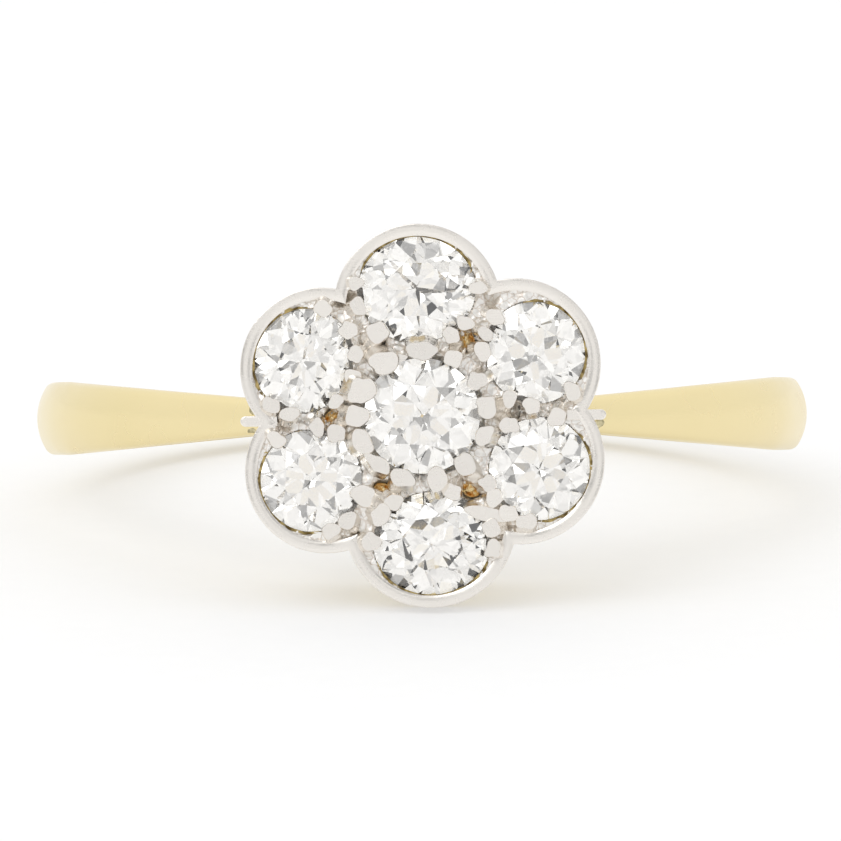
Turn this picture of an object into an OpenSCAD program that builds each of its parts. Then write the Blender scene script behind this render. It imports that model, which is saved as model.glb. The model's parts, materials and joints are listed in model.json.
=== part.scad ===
// Daisy cluster ring: six old-cut stones round a seventh, in a scalloped white
// metal setting on a yellow gold shank. It lies on its side, as it rests by itself.
// The pieces are drawn with the finger along Y and the stones up, then laid down.

/* [Finger hole] */
// Inside diameter, the ring size
finger_d = 17.2; // [14:0.1:21]

/* [Shank] */
// Width of the band at its sides, where it is widest
shank_w = 1.85; // [1.5:0.05:2.6]
// Width of the band across the back
back_w = 0.9; // [0.8:0.05:1.4]
// Thickness of the band
shank_t = 1.25; // [1:0.05:1.8]
// Radius of the domed outer face, across the band
dome_r = 1.5; // [1.3:0.1:4]
// Rounding of the two outer edges
edge_r = 0.3; // [0.15:0.05:0.4]
// Width of each shoulder where it meets the head
shoulder_w = 0.85; // [0.7:0.05:1.3]
// Drop from the seam of the two metals to the shoulder's end
shoulder_drop = 1.3; // [0.9:0.1:1.8]

/* [Stones] */
// Diameter of the centre stone
centre_d = 2.84; // [2.4:0.02:3.4]
// Depth of a petal stone, from the centre outwards
petal_d = 2.6; // [2.2:0.02:3]
// Space for the claws between the centre stone and the petal stones
claw_gap = 0.38; // [0.3:0.02:0.6]
// Rise of the centre stone above the petal stones
centre_lift = 0.2; // [0:0.05:0.4]
// Clearance all round a stone in its seat
seat_gap = 0.02; // [0.01:0.01:0.05]

/* [Setting] */
// Height of the rim above the finger
head_h = 4; // [3.6:0.1:5]
// Radius of one petal of the outline
lobe_r = 2.06; // [1.9:0.02:2.3]
// Thickness of the rim
rim_t = 0.3; // [0.22:0.02:0.5]
// Bevel along the rim's inner edge
rim_bevel = 0.08; // [0.04:0.02:0.14]
// Depth of the white metal, from the rim to the seam
white_h = 0.85; // [0.7:0.05:1.2]
// Girdle of the petal stones, below the rim
girdle_drop = 0.12; // [0.05:0.01:0.25]
// Floor that the claws stand on, below that girdle
floor_drop = 0.22; // [0.16:0.02:0.3]
// Radius of the claws on the centre stone
claw_r = 0.25; // [0.2:0.01:0.32]
// Radius of the beads on the petal stones
bead_r = 0.21; // [0.16:0.01:0.26]
// Height of claws and beads above the girdle that they hold
claw_rise = 0.25; // [0.18:0.01:0.35]
// Length of the tongue that stands out over each shoulder
tongue_l = 0.42; // [0.2:0.02:0.6]
// Width of that tongue
tongue_w = 0.26; // [0.16:0.02:0.4]
// Radius of the pierced gaps between the stones
gap_r = 0.24; // [0.16:0.02:0.3]
// Radius of the pits beside the rim's notches
pit_r = 0.17; // [0.1:0.01:0.22]
// Depth of those pits
pit_h = 0.3; // [0.1:0.05:0.4]

/* [Gallery] */
// Step from the rim in to the gallery's wall
gallery_step = 0.14; // [0.08:0.02:0.3]
// Loss of petal radius down the gallery, for each mm of height
gallery_taper = 0.15; // [0.08:0.01:0.16]
// Thickness of the gallery's wall at its foot
gallery_t = 0.25; // [0.2:0.01:0.35]
// Thickness of the back plate under the seam
plate_t = 0.45; // [0.3:0.05:0.7]
// Clearance of the gallery from the finger
gallery_lift = 0.35; // [0.3:0.05:0.6]
// Radius of the window under each petal
window_r = 0.62; // [0.4:0.02:0.75]

/* [Hidden] */
$fn = 48;
ahead = 1;     // how far a cutter runs past what it cuts
seam_gap = 0.01;

// One row a petal, from the right and anticlockwise. turn and spin are degrees, and the rest
// are shares: wide and deep of petal_d, lobe of lobe_r.
TURN = 0;
WIDE = 1;
DEEP = 2;
SPIN = 3;
LOBE = 4;
PETALS = [
    // turn, wide, deep, spin, lobe
    [28.8, 0.97, 0.94, 9, 1.02],
    [92, 1.11, 1.00, 20, 1.00],
    [154.6, 1.00, 0.92, -12, 0.97],
    [210, 0.97, 0.96, 31, 0.97],
    [274.2, 1.11, 0.97, -4, 1.03],
    [335.3, 0.98, 0.95, 14, 1.00],
];
BOTTOM = 4;
centre_spin = 17;

// Bearings of the beads round each petal stone, in degrees anticlockwise from the line
// that points outwards, one row a petal.
BEADS = [
    [110, 131, 150, 211, 236, 285],
    [81, 105, 138, 212, 230, 269],
    [78, 101, 155, 186, 210, 237, 275],
    [81, 102, 134, 212, 233, 280],
    [79, 101, 146, 215, 233, 263],
    [96, 150, 219, 236, 259, 281],
];
// Bearings of the claws round the centre stone, from the right
CLAWS = [7, 32, 61, 90, 125, 157, 180, 203, 227, 252, 283, 311, 342];

finger_r = finger_d / 2;
rim_z = finger_r + head_h;
seam_z = rim_z - white_h;
girdle_z = rim_z - girdle_drop;
floor_z = girdle_z - floor_drop;
plate_z = seam_z - plate_t;
rim_in = centre_d / 2 + claw_gap + petal_d + seat_gap;
rim_out = rim_in + rim_t;

function lobe(i) = lobe_r * PETALS[i][LOBE];
function lobe_out(i) = rim_out - lobe(i);
function wide(i) = petal_d * PETALS[i][WIDE];
function deep(i) = petal_d * PETALS[i][DEEP];
function stone_out(i) = rim_in - seat_gap - deep(i) / 2;
function next(i) = (i + 1) % 6;

// Bearing and half angle of the notch after petal i, and the radius of the notch
// for petals that are grown by a margin
function notch_half(i) = ((PETALS[next(i)][TURN] - PETALS[i][TURN] + 360) % 360) / 2;
function notch_turn(i) = PETALS[i][TURN] + notch_half(i);
function notch_r(i, grown) =
    let (out = (lobe_out(i) + lobe_out(next(i))) / 2,
         r = (lobe(i) + lobe(next(i))) / 2 + grown)
    out * cos(notch_half(i)) + sqrt(r ^ 2 - (out * sin(notch_half(i))) ^ 2);
SIDES = [5, 2];   // the notches that stand over the right and left shoulders

// An old cut with a table, 8 stars, 8 kites, 32 halves, 8 mains and an open culet,
// on radii across (rx) and along (ry), with its girdle's middle at the origin.
table_share = 0.54;
break_share = 0.76;
low_share = 0.42;
culet_share = 0.09;
crown_share = 0.33;
girdle_share = 0.025;
pavilion_share = 0.86;

function round_of(n, r, z, lead) =
    [for (k = [0:n - 1]) [r * cos(360 * k / n + lead), r * sin(360 * k / n + lead), z]];
crown_slope = (crown_share - girdle_share) / (1 - table_share);
low_slope = (pavilion_share - girdle_share) / (1 - culet_share * cos(22.5));
STONE_POINTS = concat(
    round_of(8, table_share, crown_share, 0),
    round_of(8, break_share, crown_share - (break_share * cos(22.5) - table_share) * crown_slope, 22.5),
    round_of(16, 1, girdle_share, 0),
    round_of(16, 1, -girdle_share, 0),
    round_of(8, low_share, -girdle_share - (1 - low_share * cos(22.5)) * low_slope, 22.5),
    round_of(8, culet_share, -pavilion_share, 22.5));
TABLE = 0;
BREAK = 8;
TOP = 16;
UNDER = 32;
LOW = 48;
CULET = 56;
STONE_FACES = concat(
    [[for (k = [7:-1:0]) TABLE + k], [for (k = [0:7]) CULET + k]],
    [for (k = [0:7]) [TABLE + k, TABLE + (k + 1) % 8, BREAK + k]],
    [for (k = [0:7]) [TABLE + k, BREAK + k, TOP + 2 * k, BREAK + (k + 7) % 8]],
    [for (k = [0:7]) [BREAK + k, TOP + 2 * k + 1, TOP + 2 * k]],
    [for (k = [0:7]) [BREAK + k, TOP + (2 * k + 2) % 16, TOP + 2 * k + 1]],
    [for (k = [0:15]) [TOP + k, TOP + (k + 1) % 16, UNDER + (k + 1) % 16, UNDER + k]],
    [for (k = [0:7]) [LOW + k, UNDER + 2 * k, UNDER + 2 * k + 1]],
    [for (k = [0:7]) [LOW + k, UNDER + 2 * k + 1, UNDER + (2 * k + 2) % 16]],
    [for (k = [0:7]) [UNDER + 2 * k, LOW + k, CULET + k, CULET + (k + 7) % 8, LOW + (k + 7) % 8]]);

module cut_stone(rx, ry, spin) {
    r = (rx + ry) / 2;
    polyhedron([for (p = STONE_POINTS)
                   [rx * (p.x * cos(spin) - p.y * sin(spin)),
                    ry * (p.x * sin(spin) + p.y * cos(spin)),
                    r * p.z]],
               STONE_FACES);
}

module at_petal(i, out) {
    rotate([0, 0, PETALS[i][TURN]]) translate([out, 0, 0]) children();
}

module petal_stone(i, grown = 0) {
    at_petal(i, stone_out(i))
        translate([0, 0, girdle_z])
            cut_stone(deep(i) / 2 + grown, wide(i) / 2 + grown, PETALS[i][SPIN]);
}

module centre_stone(grown = 0) {
    translate([0, 0, girdle_z + centre_lift])
        cut_stone(centre_d / 2 + grown, centre_d / 2 + grown, centre_spin);
}

// The room that the stones take in the metal, and the open holes under them
module stone_seats() {
    centre_stone(seat_gap);
    for (i = [0:5]) petal_stone(i, seat_gap);
}

// An azure is the round opening behind a stone. It clears the stone's tip at the seam.
azure_gap = 0.2;
function tip_r(d, girdle) = d / 2 - ((girdle - seam_z) - d / 2 * girdle_share) / low_slope;
module azures() {
    translate([0, 0, plate_z - ahead]) {
        cylinder(r = tip_r(centre_d, girdle_z + centre_lift) + azure_gap, h = white_h + plate_t + ahead);
        for (i = [0:5])
            at_petal(i, stone_out(i))
                cylinder(r = tip_r(petal_d, girdle_z) + azure_gap, h = white_h + plate_t + ahead);
    }
}

// The flower outline: six petals grown by a margin, and the middle that they leave
module flower(grown) {
    circle(r = rim_out - lobe_r);
    for (i = [0:5]) rotate(PETALS[i][TURN]) translate([lobe_out(i), 0]) circle(r = lobe(i) + grown);
}

gap_wall = 0.1;   // metal between a pierced gap and the ring of claws
gap_out = centre_d / 2 + claw_gap + gap_wall + gap_r;
module gaps() {
    for (i = [0:5])
        rotate([0, 0, notch_turn(i)])
            translate([gap_out, 0, seam_z - ahead]) cylinder(r = gap_r, h = white_h + ahead);
}

pit_wall = 0.04;   // metal between a pit and the notch
module pits() {
    for (i = [0:5])
        rotate([0, 0, notch_turn(i)])
            translate([notch_r(i, -rim_t) - pit_wall - pit_r, 0, floor_z - pit_h])
                cylinder(r = pit_r, h = pit_h + ahead);
}

// A claw: a round post with a chamfered head
claw_chamfer = 0.35;
module claw(r, z) {
    straight = z - floor_z + seat_gap - claw_chamfer * r;
    translate([0, 0, floor_z - seat_gap]) {
        cylinder(r = r, h = straight);
        translate([0, 0, straight])
            cylinder(r1 = r, r2 = r * (1 - claw_chamfer), h = claw_chamfer * r);
    }
}

claw_off = 0.8;   // share of its radius that a claw stands off the girdle
bead_off = 0.35;
module claws() {
    for (bearing = CLAWS)
        rotate([0, 0, bearing])
            translate([centre_d / 2 + claw_off * claw_r, 0, 0])
                claw(claw_r, girdle_z + centre_lift + claw_rise);
    for (i = [0:5]) {
        a = deep(i) / 2 + bead_off * bead_r;
        b = wide(i) / 2 + bead_off * bead_r;
        for (bearing = BEADS[i])
            at_petal(i, stone_out(i))
                translate([a * cos(bearing), b * sin(bearing), 0])
                    claw(bead_r, girdle_z + claw_rise);
    }
}

// A tongue at each side notch, over the shoulder. White metal lies on gold down to the shoulder.
module tongues(z, h) {
    for (k = [0, 1]) {
        root = notch_r(SIDES[k], 0);
        rotate([0, 0, 180 * k])
            translate([0, 0, z]) {
                translate([root - rim_t, -tongue_w / 2, 0])
                    cube([rim_t + tongue_l - tongue_w / 2, tongue_w, h]);
                translate([root + tongue_l - tongue_w / 2, 0, 0])
                    cylinder(r = tongue_w / 2, h = h);
            }
    }
}

module setting_blank() {
    difference() {
        translate([0, 0, seam_z + seam_gap]) linear_extrude(white_h - seam_gap) flower(0);
        translate([0, 0, floor_z]) linear_extrude(white_h) flower(-rim_t);
        for (i = [0:5])
            at_petal(i, lobe_out(i))
                translate([0, 0, rim_z - rim_bevel])
                    cylinder(r1 = lobe(i) - rim_t, r2 = lobe(i) - rim_t + 2 * rim_bevel, h = 2 * rim_bevel);
        pits();
    }
}

module setting() {
    color([0.87, 0.86, 0.84])
        difference() {
            union() {
                setting_blank();
                claws();
                tongues(seam_z + seam_gap, white_h - seam_gap);
            }
            stone_seats();
            azures();
            gaps();
        }
}

// The gallery: six tapered petals under the rim, hollow, open to the finger
gallery_foot = finger_r - 0.7;
function gallery_r(i, z) = lobe(i) - gallery_step - gallery_taper * (seam_z - z);
module gallery_petals() {
    top = seam_z + ahead;
    h = top - gallery_foot;
    translate([0, 0, gallery_foot]) {
        cylinder(r = rim_out - lobe_r, h = h);
        for (i = [0:5])
            at_petal(i, lobe_out(i))
                cylinder(r1 = gallery_r(i, gallery_foot), r2 = gallery_r(i, top), h = h);
    }
}

hollow_share = 0.86;   // of the way out to the petals' centres
module hollow() {
    h = plate_z - gallery_foot + ahead;
    translate([0, 0, plate_z - h])
        linear_extrude(h) {
            circle(r = hollow_share * (rim_out - lobe_r));
            for (i = [0:5])
                rotate(PETALS[i][TURN])
                    translate([lobe_out(i), 0]) circle(r = gallery_r(i, gallery_foot) - gallery_t);
        }
}

module along_finger(r, h) {
    rotate([90, 0, 0]) rotate([0, 0, 90]) cylinder(r = r, h = h, center = true);
}

module gallery() {
    difference() {
        gallery_petals();
        translate([0, 0, seam_z]) cylinder(r = rim_out + ahead, h = 2 * ahead);
        along_finger(finger_r + gallery_lift, 4 * rim_out);
    }
}

window_z = (finger_r + gallery_lift + plate_z) / 2;
module windows() {
    for (i = [0:5])
        at_petal(i, lobe_out(i))
            translate([0, 0, window_z]) rotate([0, 90, 0]) cylinder(r = window_r, h = lobe_r + ahead);
}

// The band's section: x runs outwards from the finger's axis and y along the finger.
// inside is how far it reaches in past the finger hole, which is bored out afterwards.
band_r = finger_r + shank_t;
edge_x = band_r - dome_r + sqrt((dome_r - edge_r) ^ 2 - (shank_w / 2 - edge_r) ^ 2);
edge_turn = atan2(shank_w / 2 - edge_r, edge_x - band_r + dome_r);
module band_section(inside) {
    half = concat(
        [for (a = [90:-(90 - edge_turn) / 4:edge_turn + 0.1])
            [edge_x + edge_r * cos(a), shank_w / 2 - edge_r + edge_r * sin(a)]],
        [for (a = [edge_turn:-edge_turn / 4:0.1])
            [band_r - dome_r + dome_r * cos(a), dome_r * sin(a)]]);
    rest = [for (k = [len(half) - 1:-1:0]) [half[k].x, -half[k].y]];
    polygon(concat([[finger_r - inside, shank_w / 2]], half, [[band_r, 0]], rest,
                   [[finger_r - inside, -shank_w / 2]]));
}

band_in = 3;   // how far the blank reaches in past the finger hole's radius
module band(r, to) {
    rotate([90, 0, 0]) rotate_extrude(angle = to) translate([r - band_r, 0]) band_section(band_in);
}

// Each shoulder opens out from the round band on a larger radius, up to the head
shoulder_x = notch_r(SIDES[0], 0);
shoulder_z = seam_z - shoulder_drop;
shoulder_r = ((band_r - shoulder_x) ^ 2 + shoulder_z ^ 2) / (2 * (band_r - shoulder_x));
shoulder_end = shoulder_x - rim_t - gallery_t;
module shoulder() {
    translate([band_r - shoulder_r, 0, 0]) band(shoulder_r, 90);
}

// As seen from above, the band narrows from its sides to the head, and to the back too,
// which the shoulders hide. w is the width that it comes down to.
taper_x = 1.035 * finger_r;   // where the full width ends
function side_plan(w) =
    let (far = band_r + ahead,
         spread = w / 2 + (shank_w - w) / 2 * (far - shoulder_x) / (taper_x - shoulder_x))
    [[shoulder_x, w / 2], [far, spread], [far, -spread], [shoulder_x, -w / 2]];

module shoulders() {
    for (k = [0, 1])
        mirror([k, 0, 0])
            intersection() {
                shoulder();
                linear_extrude(2 * rim_z)
                    polygon(concat(side_plan(shoulder_w),
                                   [[shoulder_end, -shoulder_w / 2], [shoulder_end, shoulder_w / 2]]));
            }
}

module back() {
    sides = side_plan(back_w);
    intersection() {
        mirror([0, 0, 1]) band(band_r, 180);
        translate([0, 0, ahead - 2 * rim_z]) linear_extrude(2 * rim_z) polygon(concat(sides, -sides));
    }
}

module shank() {
    color([0.93, 0.80, 0.45])
        difference() {
            union() {
                back();
                shoulders();
                gallery();
                tongues(shoulder_z - rim_t, seam_z - shoulder_z + rim_t);
            }
            along_finger(finger_r, 2 * shank_w);
            hollow();
            windows();
            azures();
        }
}

// At rest the back of the band and the lowest petal touch the ground
petal_low = lobe(BOTTOM) - lobe_out(BOTTOM) * sin(PETALS[BOTTOM][TURN]);
back_z = band_r - dome_r + sqrt(dome_r ^ 2 - (back_w / 2) ^ 2);
rest_tilt = atan2(petal_low - back_w / 2, seam_z + back_z);
rest_h = petal_low * cos(rest_tilt) - seam_z * sin(rest_tilt);
front = (girdle_z + crown_share * petal_d / 2) * cos(rest_tilt)
    + (stone_out(BOTTOM) + table_share * petal_d / 2) * sin(rest_tilt);
back = band_r * cos(rest_tilt) + back_w / 4 * sin(rest_tilt);
module lay() {
    translate([0, (front - back) / 2, rest_h]) rotate([90 - rest_tilt, 0, 0]) children();
}

lay() shank();
lay() setting();
lay() color([0.95, 0.96, 0.97]) centre_stone();
for (i = [0:5])
    lay() color([0.95, 0.96, 0.97]) petal_stone(i);
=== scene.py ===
import json
import math
import random
import bmesh
import bpy
import numpy as np
from mathutils import Matrix, Vector, noise
from mathutils.bvhtree import BVHTree


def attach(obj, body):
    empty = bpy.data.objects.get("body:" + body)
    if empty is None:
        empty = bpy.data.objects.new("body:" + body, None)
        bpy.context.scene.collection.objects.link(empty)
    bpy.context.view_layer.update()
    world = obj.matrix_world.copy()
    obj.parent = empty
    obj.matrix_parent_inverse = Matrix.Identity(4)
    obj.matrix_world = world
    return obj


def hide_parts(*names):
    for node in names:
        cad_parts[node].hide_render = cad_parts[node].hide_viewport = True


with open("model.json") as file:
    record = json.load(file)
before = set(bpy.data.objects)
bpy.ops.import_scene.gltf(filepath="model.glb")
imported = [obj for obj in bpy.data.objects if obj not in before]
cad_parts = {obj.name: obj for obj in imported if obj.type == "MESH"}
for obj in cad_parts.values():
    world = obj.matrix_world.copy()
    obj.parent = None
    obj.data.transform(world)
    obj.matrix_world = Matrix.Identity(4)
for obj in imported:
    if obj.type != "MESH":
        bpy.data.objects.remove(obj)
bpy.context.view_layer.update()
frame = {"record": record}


# The shank: 18 carat yellow gold, forged and filed to a domed band and polished.
# Its shoulders leave the round on a larger radius, narrow towards the head and are
# soldered to the gallery's side. The back of the band narrows too, behind them.
#
# The ring's own axes come from its finger hole: x across, y along the finger and z up
# through the stones. Every size below is in millimetres on those axes.
FINGER = next(m for m in frame["record"]["mounts"] if m["name"] == "finger_hole")
FINGER_R = FINGER["dims"]["r_mm"]
CENTRE = Vector(FINGER["pos_m"])
ACROSS = Vector((1, 0, 0))
ALONG = Vector(FINGER["axis"]).normalized()
UP = ACROSS.cross(ALONG)
LAID = Matrix((ACROSS, ALONG, UP)).transposed().to_4x4()
LAID.translation = CENTRE

HEAD_H = 4.0
WHITE_H = 0.85
RIM_Z = FINGER_R + HEAD_H
SEAM_Z = RIM_Z - WHITE_H
BAND_W = FINGER["dims"]["length_mm"]
BAND_T = 1.25
BAND_R = FINGER_R + BAND_T
DOME_R = 1.5
EDGE_R = 0.3
INNER_EDGE_R = 0.1
SHOULDER_W = 0.85
BACK_W = 0.9
SHOULDER_X = 3.86
SHOULDER_Z = SEAM_Z - 1.3
SHOULDER_END = 3.32
TAPER_X = 1.035 * FINGER_R
BAND_STEPS = 361


def linear(colour):
    """An sRGB hex colour such as "E8D9B0" as linear red, green, blue and a full alpha."""
    parts = [int(colour[k:k + 2], 16) / 255 for k in (0, 2, 4)]
    return [c / 12.92 if c <= 0.04045 else ((c + 0.055) / 1.055) ** 2.4 for c in parts] + [1.0]


def add(tree, kind, inputs=None, **settings):
    """A node with its settings, and its inputs set to values or linked to sockets."""
    made = tree.nodes.new(kind)
    for key, value in settings.items():
        setattr(made, key, value)
    for key, value in (inputs or {}).items():
        if isinstance(value, bpy.types.NodeSocket):
            tree.links.new(value, made.inputs[key])
        else:
            made.inputs[key].default_value = value
    return made


def new_material(name):
    """A material with an empty tree, and its place on the piece in metres."""
    made = bpy.data.materials.new(name)
    made.use_nodes = True
    tree = made.node_tree
    tree.nodes.clear()
    return made, tree, add(tree, "ShaderNodeTexCoord").outputs["Object"]


def per_mm(size):
    """The scale of a pattern whose marks are this many millimetres apart."""
    return 1000 / size


def yellow_gold():
    """Polished 18 carat gold. A soft, pale yellow mirror with worn patches and hairlines.

    Real hairlines lie a hundredth of a millimetre apart. They are drawn 0.12 mm apart to show.
    """
    made, tree, where = new_material("polished yellow gold")
    worn = add(tree, "ShaderNodeTexNoise", {"Vector": where, "Scale": per_mm(2.2), "Detail": 4})
    patches = add(tree, "ShaderNodeTexNoise", {"Vector": where, "Scale": per_mm(6), "Detail": 3})
    colour = add(tree, "ShaderNodeMix", {"Factor": patches.outputs["Fac"], "A": linear("E8D8A4"),
                                         "B": linear("F2E2B4")}, data_type="RGBA")
    dull = add(tree, "ShaderNodeMapRange", {"Value": worn.outputs["Fac"], "From Min": 0.35,
                                            "From Max": 0.7, "To Min": 0.18, "To Max": 0.32})
    stretched = add(tree, "ShaderNodeMapping", {"Vector": where, "Rotation": (0.2, 0.5, 0.3),
                                                "Scale": (per_mm(2), per_mm(0.12), per_mm(0.12))})
    hairlines = add(tree, "ShaderNodeTexNoise", {"Vector": stretched.outputs["Vector"], "Scale": 1.0,
                                                 "Detail": 4})
    dents = add(tree, "ShaderNodeTexNoise", {"Vector": where, "Scale": per_mm(0.9), "Detail": 2})
    marks = add(tree, "ShaderNodeMix", {"Factor": 0.35, "A": dents.outputs["Fac"],
                                        "B": hairlines.outputs["Fac"]}, data_type="FLOAT")
    relief = add(tree, "ShaderNodeBump", {"Height": marks.outputs["Result"], "Strength": 0.1,
                                          "Distance": 0.00003})
    gold = add(tree, "ShaderNodeBsdfPrincipled",
               {"Base Color": colour.outputs["Result"], "Metallic": 1.0,
                "Roughness": dull.outputs["Result"], "Normal": relief.outputs["Normal"]})
    add(tree, "ShaderNodeOutputMaterial", {"Surface": gold.outputs["BSDF"]})
    return made


GOLD = yellow_gold()


def piece(name, points, faces, finish, node, smooth=None):
    """A mesh from points in mm, laid down with the ring, that stands for a node."""
    mesh = bpy.data.meshes.new(name)
    mesh.from_pydata([LAID @ (0.001 * Vector(p)) for p in points], [], faces)
    mesh.validate()
    mesh.materials.append(finish)
    obj = bpy.data.objects.new(name, mesh)
    bpy.context.scene.collection.objects.link(obj)
    if smooth is not None:
        mesh.shade_smooth()
        mesh.set_sharp_from_angle(angle=math.radians(smooth))
    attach(obj, "root")
    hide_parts(node)
    return obj


def skin(count, around, first=0, closed=False):
    """Quads between count rings of around points each, numbered from first."""
    quads = []
    for r in range(count if closed else count - 1):
        a, b = first + r * around, first + (r + 1) % count * around
        quads += [(a + k, a + (k + 1) % around, b + (k + 1) % around, b + k) for k in range(around)]
    return quads


def caps(count, around, first=0):
    """The two end faces of such a stack of rings."""
    last = first + (count - 1) * around
    return [tuple(first + k for k in reversed(range(around))), tuple(last + k for k in range(around))]


def arc(x, y, r, start, stop, count):
    """Points on an arc, angles in radians."""
    return [(x + r * math.cos(t), y + r * math.sin(t)) for t in np.linspace(start, stop, count)]


def plan_width(x, least):
    """Width of the band as seen from above, which narrows evenly to the head and the back."""
    share = min(1, max(0, (abs(x) - SHOULDER_X) / (TAPER_X - SHOULDER_X)))
    return least + (BAND_W - least) * share


def band_section(depth, width):
    """Half outline of the band, from the bore's middle to the crest: (out, along finger)."""
    half = width / 2
    edge = min(EDGE_R, 0.45 * half)
    reach = math.sqrt((DOME_R - edge) ** 2 - (half - edge) ** 2)
    turn = math.atan2(half - edge, reach)
    points = [(0, y) for y in np.linspace(0, half - INNER_EDGE_R, 4)]
    points += arc(INNER_EDGE_R, half - INNER_EDGE_R, INNER_EDGE_R, math.pi, math.pi / 2, 5)
    points += arc(depth - DOME_R + reach, half - edge, edge, math.pi / 2, turn, 7)
    points += arc(depth - DOME_R, 0, DOME_R, turn, 0, 8)[1:]
    return points


def shank():
    """The band and its shoulders, drawn round the finger from one side of the head to the other."""
    drop = BAND_R - SHOULDER_X
    shoulder_r = (SHOULDER_Z ** 2 + drop ** 2) / (2 * drop)
    shift = BAND_R - shoulder_r
    outer_end = math.atan2(math.sqrt(shoulder_r ** 2 - (SHOULDER_END - shift) ** 2), SHOULDER_END)
    inner_end = math.acos(SHOULDER_END / FINGER_R)
    points, count = [], BAND_STEPS
    for turn in np.linspace(outer_end, -math.pi - outer_end, count):
        side = 1 if math.cos(turn) >= 0 else -1
        up = inner_up = math.asin(max(-1, min(1, math.sin(turn))))
        reach, least = BAND_R, BACK_W
        if up > 0:
            reach = shift * math.cos(up) + math.sqrt(shoulder_r ** 2 - (shift * math.sin(up)) ** 2)
            inner_up = up * inner_end / outer_end
            least = SHOULDER_W
        outer = Vector((side * reach * math.cos(up), reach * math.sin(up)))
        inner = Vector((side * FINGER_R * math.cos(inner_up), FINGER_R * math.sin(inner_up)))
        width = plan_width(outer.x, least)
        half = band_section((outer - inner).length, width)
        lead = (outer - inner).normalized()
        for out, along in half + [(x, -y) for x, y in reversed(half[1:-1])]:
            p = inner + out * lead
            points.append((p.x, along * plan_width(p.x, least) / width, p.y))
    around = len(points) // count
    piece("shank_band", points, skin(count, around) + caps(count, around), GOLD,
          "shank", smooth=50)


shank()


# The gallery: the same gold, six tapered petals with a back plate, open to the finger.
# It is soldered up from strip, each petal pierced with a round window and each stone
# with an opening behind it, and its underside is filed to the curve of the finger.
#
# One row a petal, from the right and anticlockwise: its bearing in degrees, its radius,
# the depth and width of its stone, and the turn of the stone's facets.
TURN, LOBE, DEEP, WIDE, SPIN = range(5)
PETALS = [
    (28.8, 2.10, 2.44, 2.52, 9),
    (92.0, 2.06, 2.60, 2.89, 20),
    (154.6, 2.00, 2.39, 2.60, -12),
    (210.0, 2.00, 2.50, 2.52, 31),
    (274.2, 2.12, 2.52, 2.89, 27),
    (335.3, 2.06, 2.47, 2.55, 14),
]
RIM_OUT = 4.72
STONE_REACH = 4.40
MIDDLE_R = 2.66
GALLERY_STEP = 0.14
GALLERY_TAPER = 0.15
WALL_T = 0.25
FOOT_EDGE = 0.05
FOOT_Z = FINGER_R - 0.7
PLATE_Z = SEAM_Z - 0.45
UNDERSIDE_R = FINGER_R + 0.35
WINDOW_R = 0.62
AZURE_R = 0.72
# The hollow's share of the middle circle, the reach of a window's cut from the petal's centre,
# and how far a cut runs past the plate
HOLLOW_SHARE = 0.86
WINDOW_FROM, WINDOW_TO = 0.4, 3.2
CUT_PAST = 0.5


def petal_centre(i):
    turn, out = math.radians(PETALS[i][TURN]), RIM_OUT - PETALS[i][LOBE]
    return Vector((out * math.cos(turn), out * math.sin(turn)))


def stone_centre(i):
    turn, out = math.radians(PETALS[i][TURN]), STONE_REACH - PETALS[i][DEEP] / 2
    return Vector((out * math.cos(turn), out * math.sin(turn)))


def flower(grown, per_petal=48):
    """The outline of six petals whose radii are grown by a margin, notch to notch."""
    points = []
    for i in range(6):
        c, r = petal_centre(i), PETALS[i][LOBE] + grown
        ends = []
        for j in ((i - 1) % 6, (i + 1) % 6):
            other, s = petal_centre(j), PETALS[j][LOBE] + grown
            gap = other - c
            along = (gap.length_squared + r * r - s * s) / (2 * gap.length)
            lead = gap.normalized()
            side = math.sqrt(r * r - along * along) * Vector((-lead.y, lead.x))
            meet = max((c + along * lead + k * side for k in (1, -1)), key=lambda p: p.length)
            ends.append(math.atan2(meet.y - c.y, meet.x - c.x))
        stop = ends[0] + (ends[1] - ends[0]) % (2 * math.pi)
        points += arc(c.x, c.y, r, ends[0], stop, per_petal + 1)[:-1]
    return points


def petals_reach(bearing, grown, middle):
    """How far the petals, grown by a margin, or the middle circle reach out on a bearing."""
    lead = Vector((math.cos(bearing), math.sin(bearing)))
    reach = middle
    for i in range(6):
        c, r = petal_centre(i), PETALS[i][LOBE] + grown
        out = c.dot(lead)
        square = out * out - c.length_squared + r * r
        if out > 0 and square > 0:
            reach = max(reach, out + math.sqrt(square))
    return reach


def drill(points, faces, centre, r, along, low, high, count=64):
    """Adds a closed cylinder about an axis through centre, to cut a hole with."""
    lead = Vector(along).normalized()
    side = lead.orthogonal().normalized()
    first = len(points)
    for level in (low, high):
        for k in range(count):
            out = Matrix.Rotation(2 * math.pi * k / count, 3, lead) @ side
            points.append(Vector(centre) + level * lead + r * out)
    faces += skin(2, count, first) + caps(2, count, first)


def cut(obj, points, faces):
    """Cuts closed shapes, given in mm, out of a piece."""
    mesh = bpy.data.meshes.new("cutter")
    mesh.from_pydata([LAID @ (0.001 * Vector(p)) for p in points], [], faces)
    tool = bpy.data.objects.new("cutter", mesh)
    bpy.context.scene.collection.objects.link(tool)
    step = obj.modifiers.new("cut", "BOOLEAN")
    step.operation = "DIFFERENCE"
    step.object = tool
    step.solver = "EXACT"
    bpy.context.view_layer.update()
    done = bpy.data.meshes.new_from_object(obj.evaluated_get(bpy.context.evaluated_depsgraph_get()))
    obj.modifiers.clear()
    obj.data = done
    bpy.data.objects.remove(tool)


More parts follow.
